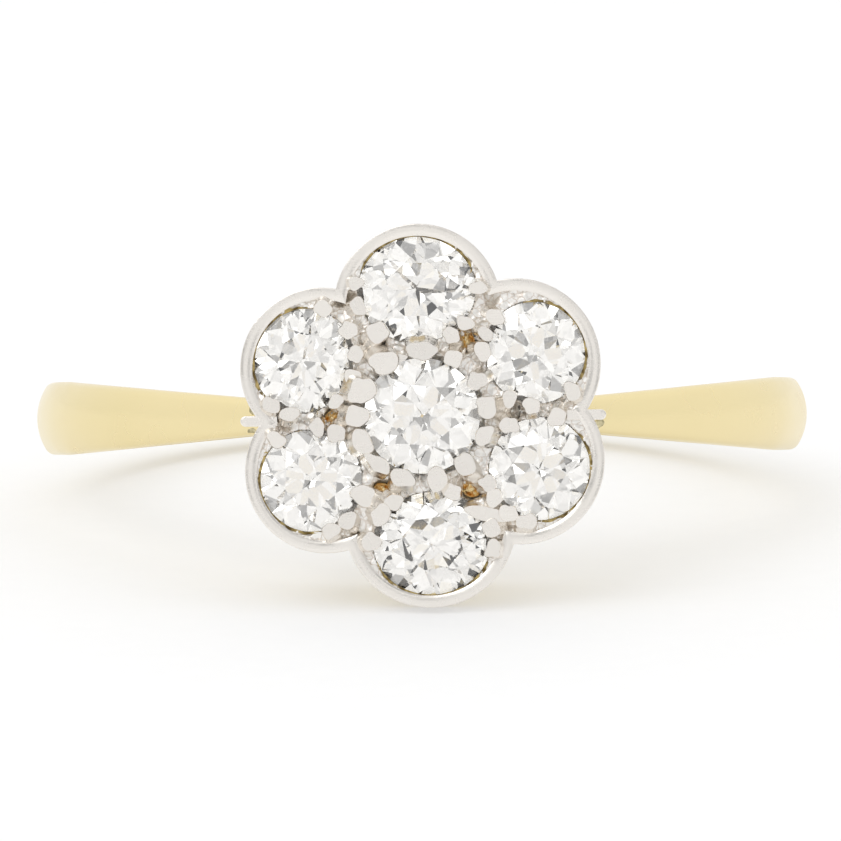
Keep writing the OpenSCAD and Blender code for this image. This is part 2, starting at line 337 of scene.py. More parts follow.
def gallery():
    drop = GALLERY_TAPER * (SEAM_Z - FOOT_Z)
    bearings = [math.atan2(y, x) for x, y in flower(-GALLERY_STEP)]
    levels = list(np.linspace(0, 1, 9))
    wall = [[] for _ in levels] + [[]]
    inside = [[] for _ in levels] + [[]]
    for bearing in bearings:
        c, s = math.cos(bearing), math.sin(bearing)
        out = petals_reach(bearing, -GALLERY_STEP - drop, MIDDLE_R)
        under = max(FOOT_Z, math.sqrt(UNDERSIDE_R ** 2 - (out * c) ** 2))
        for k, level in enumerate(levels):
            z = SEAM_Z + (under + FOOT_EDGE - SEAM_Z) * level
            out = petals_reach(bearing, -GALLERY_STEP - GALLERY_TAPER * (SEAM_Z - z), MIDDLE_R)
            wall[k].append((out * c, out * s, z))
        out -= FOOT_EDGE
        wall[-1].append((out * c, out * s, under))
        out = petals_reach(bearing, -GALLERY_STEP - drop - WALL_T, HOLLOW_SHARE * MIDDLE_R)
        under = max(FOOT_Z, math.sqrt(UNDERSIDE_R ** 2 - (out * c) ** 2))
        out += FOOT_EDGE
        inside[0].append((out * c, out * s, under))
        out -= FOOT_EDGE
        for k, level in enumerate(levels):
            z = under + FOOT_EDGE + (PLATE_Z - under - FOOT_EDGE) * level
            inside[k + 1].append((out * c, out * s, z))
    rings, around = wall + inside, len(bearings)
    faces = skin(len(rings), around) + caps(len(rings), around)
    obj = piece("gallery", sum(rings, []), [tuple(reversed(f)) for f in faces], GOLD,
                "shank")
    holes, sides = [], []
    window_z = (UNDERSIDE_R + PLATE_Z) / 2
    for i in range(6):
        turn, c = math.radians(PETALS[i][TURN]), petal_centre(i)
        drill(holes, sides, (c.x, c.y, window_z), WINDOW_R, (math.cos(turn), math.sin(turn), 0),
              WINDOW_FROM, WINDOW_TO)
        c = stone_centre(i)
        drill(holes, sides, (c.x, c.y, 0), AZURE_R, (0, 0, 1), PLATE_Z - CUT_PAST, SEAM_Z + CUT_PAST)
    drill(holes, sides, (0, 0, 0), AZURE_R, (0, 0, 1), PLATE_Z - CUT_PAST, SEAM_Z + CUT_PAST)
    cut(obj, holes, sides)
    obj.data.shade_smooth()
    obj.data.set_sharp_from_angle(angle=math.radians(35))


gallery()


# The rim: a wall of white platinum that follows the petals, soldered on the gold.
# Its top is filed flat and its inner edge is bevelled bright, and it has the soft
# polish and the fine scratches of long wear.
RIM_T = 0.3
RIM_BEVEL = 0.07
RIM_FALL = 0.035
RIM_EDGE = 0.03
# How far down a ring in the wall keeps the bevel's shading to the edge, and the gap at the seam
RIM_HOLD = 0.55
SEAM_GAP = 0.01


def polished_platinum():
    """Polished platinum: greyer than silver and a little warm, blurred by wear.

    Real scratches are under a hundredth of a millimetre. They are drawn 0.05 mm apart to show.
    """
    made, tree, where = new_material("polished platinum")
    worn = add(tree, "ShaderNodeTexNoise", {"Vector": where, "Scale": per_mm(0.5), "Detail": 5})
    colour = add(tree, "ShaderNodeMix", {"Factor": worn.outputs["Fac"], "A": linear("ECE7E0"),
                                         "B": linear("F6F2EC")}, data_type="RGBA")
    dull = add(tree, "ShaderNodeMapRange", {"Value": worn.outputs["Fac"], "From Min": 0.3,
                                            "From Max": 0.7, "To Min": 0.2, "To Max": 0.34})
    stretched = add(tree, "ShaderNodeMapping", {"Vector": where, "Rotation": (0.4, 0.2, 0.9),
                                                "Scale": (per_mm(0.9), per_mm(0.05), per_mm(0.05))})
    scratches = add(tree, "ShaderNodeTexNoise", {"Vector": stretched.outputs["Vector"], "Scale": 1.0,
                                                 "Detail": 3})
    relief = add(tree, "ShaderNodeBump", {"Height": scratches.outputs["Fac"], "Strength": 0.12,
                                          "Distance": 0.00003})
    metal = add(tree, "ShaderNodeBsdfPrincipled",
                {"Base Color": colour.outputs["Result"], "Metallic": 1.0,
                 "Roughness": dull.outputs["Result"], "Normal": relief.outputs["Normal"]})
    add(tree, "ShaderNodeOutputMaterial", {"Surface": metal.outputs["BSDF"]})
    return made


POLISHED = polished_platinum()


def rim():
    seam = SEAM_Z + SEAM_GAP
    profile = [(0, seam), (0, RIM_Z - RIM_EDGE), (-0.3 * RIM_EDGE, RIM_Z - 0.3 * RIM_EDGE),
               (-RIM_EDGE, RIM_Z), (-RIM_T + RIM_BEVEL, RIM_Z), (-RIM_T, RIM_Z - RIM_FALL),
               (-RIM_T, RIM_Z - RIM_HOLD), (-RIM_T, seam)]
    points = [(x, y, z) for grown, z in profile for x, y in flower(grown)]
    around = len(points) // len(profile)
    piece("rim", points, skin(len(profile), around, closed=True), POLISHED, "setting",
          smooth=28)


rim()


# The claws and beads: round grains of the same platinum, raised from the floor with a
# graver, pushed over the stones' edges and filed flat on top. No two are alike, and
# some have run together into bars.
GIRDLE_Z = RIM_Z - 0.12
FLOOR_Z = GIRDLE_Z - 0.22
LIFT = 0.2
CLAW_R = 0.25
BEAD_R = 0.21
CLAW_RISE = 0.25
CENTRE_D = 2.84
# The share of its radius that a claw or a bead stands off the girdle
CLAW_OFF = 0.72
BEAD_OFF = 0.3
BAR_FALL = 0.03
# One row a claw round the centre stone: bearing, depth, and length along the girdle
CLAWS = [
    (7, 1.1, 1.1),
    (32, 0.95, 1.0),
    (61, 0.9, 0.95),
    (90, 1.0, 1.5),
    (125, 1.1, 1.6),
    (157, 1.2, 1.6),
    (180, 1.1, 1.25),
    (203, 0.95, 1.45),
    (227, 0.8, 1.35),
    (252, 1.05, 1.15),
    (283, 1.1, 1.2),
    (311, 1.35, 0.95),
    (342, 0.95, 1.0),
]
# The beads round each petal stone: bearing from the line that points outwards, and size
BEADS = [
    [(110, 1.05), (131, 0.9), (150, 1.05), (211, 1.0), (236, 1.0), (285, 1.05)],
    [(81, 0.9), (105, 1.0), (138, 1.35), (212, 1.0), (230, 1.0), (269, 0.95)],
    [(78, 1.0), (101, 0.95), (155, 0.9), (186, 1.0), (210, 0.95), (237, 1.0), (275, 1.0)],
    [(81, 1.0), (102, 1.0), (134, 1.4), (212, 1.05), (233, 1.0), (280, 1.05)],
    [(79, 1.05), (101, 1.1), (157, 1.0), (215, 1.05), (233, 1.2), (263, 1.1)],
    [(96, 1.1), (150, 1.05), (219, 1.05), (236, 1.1), (259, 1.1), (281, 1.05)],
]
# Bars where grains have run together: the middle, the direction in degrees, and the half
# width and half length
BARS = [
    (1.58, -2.42, -11, 0.18, 0.6),
    (-0.67, 1.4, 9, 0.11, 0.36),
]


def grain_places():
    """Where each grain stands: x, y, facing, half width, half length and top."""
    chance = random.Random(7)
    places = []
    for bearing, deep, long in CLAWS:
        t, out = math.radians(bearing), CENTRE_D / 2 + CLAW_OFF * CLAW_R
        places.append((out * math.cos(t), out * math.sin(t), t, deep * CLAW_R, long * CLAW_R,
                       GIRDLE_Z + LIFT + CLAW_RISE))
    for i, row in enumerate(BEADS):
        turn, c = math.radians(PETALS[i][TURN]), stone_centre(i)
        off = BEAD_OFF * BEAD_R
        a, b = PETALS[i][DEEP] / 2 + off, PETALS[i][WIDE] / 2 + off
        for bearing, size in row:
            t = math.radians(bearing)
            at = c + Matrix.Rotation(turn, 2) @ Vector((a * math.cos(t), b * math.sin(t)))
            wide = size * BEAD_R
            long = wide * chance.uniform(0.95, 1.2)
            places.append((at.x, at.y, turn + t, wide, long, GIRDLE_Z + CLAW_RISE))
    for x, y, bearing, wide, long in BARS:
        places.append((x, y, math.radians(bearing + 90), wide, long, GIRDLE_Z + CLAW_RISE - BAR_FALL))
    return places


GRAINS = grain_places()


def claws():
    chance = random.Random(21)
    points, faces, around = [], [], 36
    # Each ring of a grain: its spread, its share of the height, and how far it stands back
    # from the stone, so that only the head lies over the edge
    steps = [(1.2, -0.12, 0.75), (1.05, 0.15, 0.7), (1.0, 0.5, 0.7), (1.02, 0.72, 0.3), (1.02, 0.88, 0),
             (0.99, 0.95, 0), (0.94, 1.0, 0)]
    for x, y, facing, wide, long, top in GRAINS:
        first = len(points)
        lean = (chance.uniform(-0.07, 0.07), chance.uniform(-0.07, 0.07))
        waves = [(k, chance.uniform(0.04, 0.34) / k, chance.uniform(0, 2 * math.pi))
                 for k in (2, 3, 4, 5)]
        for spread, share, back in steps:
            for k in range(around):
                t = 2 * math.pi * k / around
                reach = spread * (1 + sum(size * math.cos(n * t + lag) for n, size, lag in waves))
                u, v = (reach * math.cos(t) + back) * wide, reach * long * math.sin(t)
                tilt = (lean[0] * u + lean[1] * v) * max(0, share)
                points.append((x + u * math.cos(facing) - v * math.sin(facing),
                               y + u * math.sin(facing) + v * math.cos(facing),
                               FLOOR_Z + (top - FLOOR_Z) * share + tilt))
        faces += skin(len(steps), around, first) + caps(len(steps), around, first)
    piece("claws", points, faces, POLISHED, "setting", smooth=30)


claws()


# The floor between the stones: the platinum that the grains were raised from. The
# graver has left it torn and bright, heaped against each grain, with pits beside the
# rim's notches and six pierced gaps. Old dirt and painted shade darken its colour in the
# cracks and in its lowest places.
GAP_R = 0.24
GAP_OUT = 2.14
PIT_OUT = 3.35
FLOOR_CELL = 0.035
FLOOR_T = 0.3
CENTRE_SEAT = 0.7
PETAL_SEAT = 0.84
SEAT_GAP = 0.07
PAVILION_SLOPE = 0.91
FLOOR_SEED = 5
PETAL_STONE_R = 1.25
FLOOR_RISE = 0.22
# Height and width of the ridges between grains, the heaps against them, the pits, and the fall
# at the brink of each gap
RIDGE_H, RIDGE_W = 0.12, 0.05
HEAP_H, HEAP_W = 0.08, 0.12
PIT_H, PIT_W = 0.3, 0.2
BRINK_H, BRINK_W = 0.15, 0.1


def cut_platinum():
    """Platinum straight from the graver: bright torn facets, with brown dirt and painted shade darkening
    the cracks and the lowest places.
    """
    made, tree, where = new_material("engraved platinum")
    stir = add(tree, "ShaderNodeTexNoise", {"Vector": where, "Scale": per_mm(0.2), "Detail": 3})
    shift = add(tree, "ShaderNodeVectorMath", {0: stir.outputs["Color"], "Scale": 0.00016},
                operation="SCALE")
    torn = add(tree, "ShaderNodeVectorMath", {0: where, 1: shift.outputs["Vector"]}, operation="ADD")
    cracks = add(tree, "ShaderNodeTexVoronoi", {"Vector": torn.outputs["Vector"], "Scale": per_mm(0.2)},
                 feature="DISTANCE_TO_EDGE")
    # Painted shade, with dirt: the colour darkens along the voronoi cracks
    clear_of_crack_shade = add(tree, "ShaderNodeMapRange", {"Value": cracks.outputs["Distance"], "From Max": 0.09,
                                             "To Min": 0.0})
    fine = add(tree, "ShaderNodeTexNoise", {"Vector": where, "Scale": per_mm(0.07), "Detail": 5})
    height = add(tree, "ShaderNodeVectorMath", {0: where, 1: tuple(UP)}, operation="DOT_PRODUCT")
    # Painted shade: the colour darkens where the floor lies more than 0.05 mm below FLOOR_Z, fully at
    # 0.35 mm below it
    level = UP.dot(CENTRE) + 0.001 * FLOOR_Z
    raised = add(tree, "ShaderNodeMapRange", {"Value": height.outputs["Value"],
                                              "From Min": level - 0.00035, "From Max": level - 0.00005})
    bright = add(tree, "ShaderNodeMix", {"Factor": fine.outputs["Fac"], "A": linear("F2EEE8"),
                                         "B": linear("FFFEFB")}, data_type="RGBA")
    # The colour of dirt and painted shade, for the cracks and the lowest places
    dirt_and_shade = add(tree, "ShaderNodeMix", {"Factor": stir.outputs["Fac"], "A": linear("C8BBAE"),
                                       "B": linear("ECE3D9")}, data_type="RGBA")
    share = add(tree, "ShaderNodeMath", {0: clear_of_crack_shade.outputs["Result"], 1: raised.outputs["Result"]},
                operation="MULTIPLY")
    colour = add(tree, "ShaderNodeMix", {"Factor": share.outputs["Value"], "A": dirt_and_shade.outputs["Result"],
                                         "B": bright.outputs["Result"]}, data_type="RGBA")
    relief = add(tree, "ShaderNodeBump", {"Height": cracks.outputs["Distance"], "Strength": 0.24,
                                          "Distance": 0.0001})
    metal = add(tree, "ShaderNodeBsdfPrincipled",
                {"Base Color": colour.outputs["Result"], "Metallic": 1.0, "Roughness": 0.42,
                 "Normal": relief.outputs["Normal"]})
    add(tree, "ShaderNodeOutputMaterial", {"Surface": metal.outputs["BSDF"]})
    return made


CUT = cut_platinum()


def notch(i, out):
    """A place towards the notch after petal i, that far from the centre."""
    here, there = PETALS[i][TURN], PETALS[(i + 1) % 6][TURN]
    bearing = math.radians(here + (there - here) % 360 / 2)
    return Vector((out * math.cos(bearing), out * math.sin(bearing)))


def stone_shares(p):
    """How far out a place is on each stone, the centre first: 0 in its middle, 1 at its girdle."""
    shares = [2 * p.length / CENTRE_D]
    for i, row in enumerate(PETALS):
        away = Matrix.Rotation(math.radians(-row[TURN]), 2) @ (p - stone_centre(i))
        shares.append(2 * Vector((away.x / row[DEEP], away.y / row[WIDE])).length)
    return shares


def floor_plate():
    # Without a seed, noise_vector takes one from the clock and each run's floor differs
    noise.seed_set(FLOOR_SEED)
    gaps = [notch(i, GAP_OUT) for i in range(6)]
    pits = [notch(i, PIT_OUT) for i in range(6)]
    grains = [(Vector((x, y)), max(wide, 0.7 * long)) for x, y, _, wide, long, _ in GRAINS]
    ridges = []
    for c, _ in grains:
        near = sorted((other for other, _ in grains if other != c), key=lambda o: (o - c).length)
        ridges += [(c, other) for other in near[:2]]

    def off_segment(p, a, b):
        share = min(1, max(0, (p - a).dot(b - a) / (b - a).length_squared))
        return (p - a - share * (b - a)).length

    def solid(p, shares):
        inside = p.length < MIDDLE_R or any((p - petal_centre(i)).length < PETALS[i][LOBE] - RIM_T + 0.05
                                            for i in range(6))
        clear = shares[0] > CENTRE_SEAT and min(shares[1:]) > PETAL_SEAT
        return inside and clear and all((p - g).length > GAP_R for g in gaps)

    def height(p, shares):
        q = Vector((p.x, p.y, 0))
        torn = noise.cell(7 * q + 1.5 * noise.noise_vector(4 * q))
        z = FLOOR_Z + FLOOR_RISE + 0.04 * noise.fractal(4 * q, 1.0, 2.0, 3) + 0.02 * torn
        z += RIDGE_H * max(math.exp(-(off_segment(p, a, b) / RIDGE_W) ** 2) for a, b in ridges)
        z += HEAP_H * max(math.exp(-(max(0, (p - c).length - r) / HEAP_W) ** 2) for c, r in grains)
        z -= PIT_H * max(math.exp(-((p - c).length / PIT_W) ** 2) for c in pits)
        z -= BRINK_H * max(math.exp(-(((p - c).length - GAP_R) / BRINK_W) ** 2) for c in gaps)
        under_centre = GIRDLE_Z + LIFT - (1 - shares[0]) * CENTRE_D / 2 * PAVILION_SLOPE
        under_petal = GIRDLE_Z - (1 - min(shares[1:])) * PETAL_STONE_R * PAVILION_SLOPE
        if shares[0] < 1:
            z = min(z, under_centre - SEAT_GAP)
        if min(shares[1:]) < 1:
            z = min(z, under_petal - SEAT_GAP)
        return z

    index = {}
    half = int(RIM_OUT / FLOOR_CELL)
    for a in range(-half, half + 1):
        for b in range(-half, half + 1):
            p = Vector((a * FLOOR_CELL, b * FLOOR_CELL))
            shares = stone_shares(p)
            if solid(p, shares):
                index[a, b] = (p.x, p.y, height(p, shares))
    cells = [((a, b), (a + 1, b), (a + 1, b + 1), (a, b + 1)) for a, b in index]
    cells = [corners for corners in cells if all(c in index for c in corners)]
    number = {c: k for k, c in enumerate(sorted({c for corners in cells for c in corners}))}
    obj = piece("claw_floor", [index[c] for c in number], [[number[c] for c in f] for f in cells], CUT,
                "setting", smooth=60)
    sheet = obj.modifiers.new("thickness", "SOLIDIFY")
    sheet.thickness = 0.001 * FLOOR_T
    sheet.offset = -1


floor_plate()


# The stones' seats: cones cut bright under each stone, down to the round openings
# behind them, so that light comes back up through the stone.
SEAT_DROP = 0.01


def bright_platinum():
    """Platinum burnished inside the seats, where nothing wears it: nearly a clear mirror."""
    made, tree, where = new_material("burnished platinum")
    turned = add(tree, "ShaderNodeTexNoise", {"Vector": where, "Scale": per_mm(0.3), "Detail": 4})
    colour = add(tree, "ShaderNodeMix", {"Factor": turned.outputs["Fac"], "A": linear("F2EFEA"),
                                         "B": linear("FBF9F6")}, data_type="RGBA")
    dull = add(tree, "ShaderNodeMapRange", {"Value": turned.outputs["Fac"], "To Min": 0.08,
                                            "To Max": 0.22})
    relief = add(tree, "ShaderNodeBump", {"Height": turned.outputs["Fac"], "Strength": 0.1,
                                          "Distance": 0.00003})
    metal = add(tree, "ShaderNodeBsdfPrincipled",
                {"Base Color": colour.outputs["Result"], "Metallic": 1.0,
                 "Roughness": dull.outputs["Result"], "Normal": relief.outputs["Normal"]})
    add(tree, "ShaderNodeOutputMaterial", {"Surface": metal.outputs["BSDF"]})
    return made


def seats():
    points, faces, around = [], [], 64
    rows = [(Vector((0, 0)), 0, CENTRE_D, CENTRE_D, GIRDLE_Z + LIFT)]
    rows += [(stone_centre(i), row[TURN], row[DEEP], row[WIDE], GIRDLE_Z)
             for i, row in enumerate(PETALS)]
    for at, turn, deep, wide, girdle in rows:
        first = len(points)
        top = FLOOR_Z - SEAT_DROP
        fall = (girdle - top) / PAVILION_SLOPE - SEAT_GAP
        cone_end = girdle - (max(deep, wide) / 2 + SEAT_GAP - AZURE_R) * PAVILION_SLOPE
        for u, v, z in ((deep / 2 - fall, wide / 2 - fall, top), (AZURE_R, AZURE_R, cone_end),
                        (AZURE_R, AZURE_R, SEAM_Z + SEAM_GAP)):
            for k in range(around):
                t = 2 * math.pi * k / around
                p = Vector((u * math.cos(t), v * math.sin(t)))
                p = at + Matrix.Rotation(math.radians(turn), 2) @ p
                points.append((p.x, p.y, z))
        faces += skin(3, around, first)
    piece("seats", points, faces, bright_platinum(), "setting", smooth=40)


seats()


# The line inside the rim: gold solder that has run up between each stone and the rim on
# its outer side, and lumps of it beside the tongues. Nothing polishes it there. Its dark
# olive colour is old dirt and painted shade in the gap beside each stone, and painted
# shade under the rim beside the tongues.
LINE_TOP = GIRDLE_Z + 0.02
LINE_DEEP = 0.1
LINE_SPAN = 74
LINE_WIDE = 0.085
# How far the line runs in under the rim's wall and under the stone
LINE_LAP = 0.02
LINE_UNDER = 0.01
# One row a lump of the same solder, in the corner between a shoulder and the rim: its middle,
# half width and half length
FILLETS = [
    (-4.17, 0.19, 0.10, 0.15),
    (-4.18, -0.40, 0.14, 0.15),
    (4.38, -0.21, 0.13, 0.14),
]
FILLET_REACH = 0.39
FILLET_LOW = SHOULDER_Z - 0.4


def solder_with_painted_shade(name, dirt_and_shade, rubbed_bare):
    """Gold solder never polished: olive brown for dirt and painted shade, and yellow where something has
    rubbed it.
    """
    made, tree, where = new_material(name)
    rubbed = add(tree, "ShaderNodeTexNoise", {"Vector": where, "Scale": per_mm(0.2), "Detail": 4})
    share = add(tree, "ShaderNodeMapRange", {"Value": rubbed.outputs["Fac"], "From Min": 0.4,
                                             "From Max": 0.62})
    colour = add(tree, "ShaderNodeMix", {"Factor": share.outputs["Result"], "A": linear(dirt_and_shade),
                                         "B": linear(rubbed_bare)}, data_type="RGBA")
    relief = add(tree, "ShaderNodeBump", {"Height": rubbed.outputs["Fac"], "Strength": 0.5,
                                          "Distance": 0.00006})
    metal = add(tree, "ShaderNodeBsdfPrincipled",
                {"Base Color": colour.outputs["Result"], "Metallic": 1.0, "Roughness": 0.4,
                 "Normal": relief.outputs["Normal"]})
    add(tree, "ShaderNodeOutputMaterial", {"Surface": metal.outputs["BSDF"]})
    return made


def solder_and_shade_lines():
    points, faces, steps = [], [], 46
    for i, row in enumerate(PETALS):
        first, at, wall = len(points), stone_centre(i), row[LOBE] - RIM_T + LINE_LAP
        off = at - petal_centre(i)
        for t in np.radians(np.linspace(-LINE_SPAN, LINE_SPAN, steps)):
            edge = Vector((row[DEEP] / 2 * math.cos(t), row[WIDE] / 2 * math.sin(t)))
            edge = Matrix.Rotation(math.radians(row[TURN]), 2) @ edge
            lead = edge.normalized()
            reach = math.sqrt(off.dot(lead) ** 2 - off.length_squared + wall ** 2) - off.dot(lead)
            # Ragged all along, and narrower over the last fifth at either end
            ragged = 0.75 + 0.9 * noise.noise(Vector((7 * t, 5 * i, 0)))
            wide = LINE_WIDE * ragged * min(1, 5 * (1.001 - abs(math.degrees(t)) / LINE_SPAN))
            near = at + edge - LINE_UNDER * lead
            far = at + min(reach, edge.length + wide) * lead
            points += [(near.x, near.y, LINE_TOP - LINE_DEEP), (near.x, near.y, LINE_TOP),
                       (far.x, far.y, LINE_TOP), (far.x, far.y, LINE_TOP - LINE_DEEP)]
        faces += skin(steps, 4, first) + caps(steps, 4, first)
    # Dirt and painted shade: the line is dark olive where the stone meets the rim
    solder = solder_with_painted_shade("gold solder with dirt and painted shade", "665636", "C2AC74")
    piece("solder_and_shade_lines", points, faces, solder, "shank", smooth=40)


def solder_fillets():
    """Lumps that lie on the shoulder's own surface, which is found from straight above."""
    band = bpy.data.objects["shank_band"].data
    surface = BVHTree.FromPolygons([v.co for v in band.vertices], [f.vertices for f in band.polygons])
    points, faces, around = [], [], 24
    # Each ring of a lump: its spread, and how far it stands over the shoulder
    steps = ((1, -0.08), (1, -0.005), (0.75, 0.012), (0.4, 0.02))
    for x, y, wide, long in FILLETS:
        first = len(points)
        for spread, rise in steps:
            for k in range(around):
                t = 2 * math.pi * k / around
                lump = spread * (1 + 0.5 * noise.noise(Vector((math.cos(t), math.sin(t), 3 * x + y))))
                u, v = x + lump * wide * math.cos(t), y + lump * long * math.sin(t)
                v = max(-FILLET_REACH, min(FILLET_REACH, v))
                hit = surface.ray_cast(LAID @ (0.001 * Vector((u, v, RIM_Z))), -UP)[0]
                level = 1000 * (hit - CENTRE).dot(UP) if hit else 0
                points.append((u, v, max(level, FILLET_LOW) + rise))
        faces += skin(len(steps), around, first) + caps(len(steps), around, first)
    # Painted shade: the lumps are coloured dark where the rim shades the shoulder beside the tongues
    shaded_fillet_solder = solder_with_painted_shade("gold solder in painted shade", "A39A78", "E2D8B4")
    piece("solder_fillets", points, faces, shaded_fillet_solder, "shank", smooth=60)


solder_and_shade_lines()
solder_fillets()


# The pierced gaps: deep holes between the grains. In four of them the gold of the
# gallery shows, never polished, with the orange glow of its own reflections and its
# highlights painted into its colour, and in two the platinum runs down and only dirt
# and painted shade show.
def gap_gold():
    """Raw gold down in a hole: rough lumps, painted deeper orange for the glow of its own reflections,
    with painted highlights on them.
    """
    made, tree, where = new_material("gap gold with painted glow and highlights")
    lumps = add(tree, "ShaderNodeTexNoise", {"Vector": where, "Scale": per_mm(0.11), "Detail": 4})
    painted_highlight_mask = add(tree, "ShaderNodeMapRange", {"Value": lumps.outputs["Fac"], "From Min": 0.38,
                                             "From Max": 0.62})
    # Painted glow and highlight: an orange deeper than the band's gold for the light the hole's walls
    # throw on each other, and pale yellow on the lumps' tops
    colour = add(tree, "ShaderNodeMix", {"Factor": painted_highlight_mask.outputs["Result"], "A": linear("E0AC58"),
                                         "B": linear("FFF2C8")}, data_type="RGBA")
    relief = add(tree, "ShaderNodeBump", {"Height": lumps.outputs["Fac"], "Strength": 1.0,
                                          "Distance": 0.00012})
    gold = add(tree, "ShaderNodeBsdfPrincipled",
               {"Base Color": colour.outputs["Result"], "Metallic": 1.0, "Roughness": 0.35,
                "Normal": relief.outputs["Normal"]})
    add(tree, "ShaderNodeOutputMaterial", {"Surface": gold.outputs["BSDF"]})
    return made


def gap_lining(name, notches, metal, node, bottom):
    """The sides and the bottom of the gaps in the notches that are listed."""
    points, faces, around = [], [], 32
    # Each ring of a lining, from the brink in to the hump in its middle: radius and height
    rings = ((GAP_R + 0.01, bottom + 0.16), (GAP_R - 0.04, bottom), (0.13, bottom + 0.04),
             (0.06, bottom + 0.08))
    for i in notches:
        at, first = notch(i, GAP_OUT), len(points)
        for reach, z in rings:
            for k in range(around):
                t = 2 * math.pi * k / around
                points.append((at.x + reach * math.cos(t), at.y + reach * math.sin(t), z))
        faces += skin(len(rings), around, first)
        faces.append(tuple(first + (len(rings) - 1) * around + k for k in range(around)))
    piece(name, points, faces, metal, node, smooth=40)


gap_lining("gaps_gold", (0, 2, 3, 4), gap_gold(), "shank", FLOOR_Z)
gap_lining("gaps_white", (1, 5), CUT, "setting", FLOOR_Z - 0.05)


# The tongues: a small bar from the rim's notch over each shoulder, where the head is
# pinned down while it is soldered. It is white on top and gold below the seam.
#
# One row a tongue: its side, its length, and how far it stands off the middle.
TONGUES = [
    (1, 0.66, 0.0),
    (-1, 0.6, -0.11),
]
TONGUE_W = 0.26
TONGUE_EDGE = 0.03
TONGUE_DROP = 0.015
TONGUE_FOOT = SHOULDER_Z - 0.3


def tongues(name, metal, node, low, high):
    points, faces = [], []
    root, half = SHOULDER_X - RIM_T, TONGUE_W / 2
    steps = ((low, 0), (high - TONGUE_EDGE, 0), (high - 0.3 * TONGUE_EDGE, 0.3 * TONGUE_EDGE),
             (high, TONGUE_EDGE))
    for side, length, off in TONGUES:
        first, tip = len(points), SHOULDER_X + length - half
        plan = [(root, -half)] + arc(tip, 0, half, -math.pi / 2, math.pi / 2, 15) + [(root, half)]
        for z, inset in steps:
            points += [(side * (x - inset * (x > root)), off + y * (1 - inset / half), z)
                       for x, y in plan]
        ring = skin(len(steps), len(plan), first) + caps(len(steps), len(plan), first)
        faces += ring if side > 0 else [tuple(reversed(f)) for f in ring]
    piece(name, points, faces, metal, node, smooth=20)


tongues("tongues_white", POLISHED, "setting", SEAM_Z + SEAM_GAP,
        RIM_Z - TONGUE_DROP)
tongues("tongues_gold", GOLD, "shank", TONGUE_FOOT, SEAM_Z)


# The stones: seven old-cut diamonds, cut and polished by eye, each a little uneven.
# Small table, high crown, 58 facets and a small open culet. The centre one is round
# and sits highest. The others are slightly oval, with their girdles under the rim's top.
TABLE, BREAK, LOWER, CULET = 0.54, 0.76, 0.42, 0.03
CROWN, GIRDLE, PAVILION = 0.33, 0.025, 0.86
# How far a facet's bearing strays, in radians, and the share that its slope strays
STRAY_TURN, STRAY_SLOPE = 0.022, 0.012
CENTRE_SPIN = 17


def diamond():
    """Diamond: colourless, and it bends light more than any other clear stone."""
    made, tree, where = new_material("old-cut diamond")
    haze = add(tree, "ShaderNodeTexNoise", {"Vector": where, "Scale": per_mm(1.4), "Detail": 2})
    polish = add(tree, "ShaderNodeMapRange", {"Value": haze.outputs["Fac"], "From Min": 0.45,
                                              "From Max": 0.8, "To Min": 0.0, "To Max": 0.008})
    stone = add(tree, "ShaderNodeBsdfPrincipled",
                {"Base Color": linear("FEFCF8"), "Transmission Weight": 1.0, "IOR": 2.417,
                 "Roughness": polish.outputs["Result"]})
    add(tree, "ShaderNodeOutputMaterial", {"Surface": stone.outputs["BSDF"]})
    return made


DIAMOND = diamond()


def facet_planes(chance):
    """The outward direction and the distance of every facet, for a stone of radius 1."""
    corner, half = math.radians(22.5), math.radians(11.25)
    top_slope = (CROWN - GIRDLE) / (1 - TABLE)
    low_slope = (PAVILION - GIRDLE) / (1 - CULET * math.cos(corner))
    break_z = CROWN - (BREAK * math.cos(corner) - TABLE) * top_slope
    lower_z = -GIRDLE - (1 - LOWER * math.cos(corner)) * low_slope

    def plane(bearing, near, far):
        """Through two places (radius, height) on that bearing, the outer one kept."""
        flat, rise = abs(near[1] - far[1]), abs(far[0] - near[0])
        size = math.hypot(flat, rise)
        flat, rise = flat / size, rise / size * (1 if near[1] > 0 else -1)
        bearing += chance.gauss(0, STRAY_TURN)
        flat *= 1 + chance.gauss(0, STRAY_SLOPE)
        lead = Vector((flat * math.cos(bearing), flat * math.sin(bearing), rise)).normalized()
        return lead, flat * far[0] + rise * far[1]

    planes = [(Vector((0, 0, 1)), CROWN), (Vector((0, 0, -1)), PAVILION)]
    for k in range(8):
        main, chord = 2 * math.pi * k / 8, math.cos(half)
        planes.append(plane(main, (TABLE, CROWN), (1, GIRDLE)))
        planes.append(plane(main + corner, (TABLE * math.cos(corner), CROWN), (BREAK, break_z)))
        planes.append(plane(main, (CULET * math.cos(corner), -PAVILION), (1, -GIRDLE)))
        for side in (-half, half):
            planes.append(plane(main + side, (BREAK * chord, break_z), (chord, GIRDLE)))
            planes.append(plane(main + side, (LOWER * chord, lower_z), (chord, -GIRDLE)))
    return planes


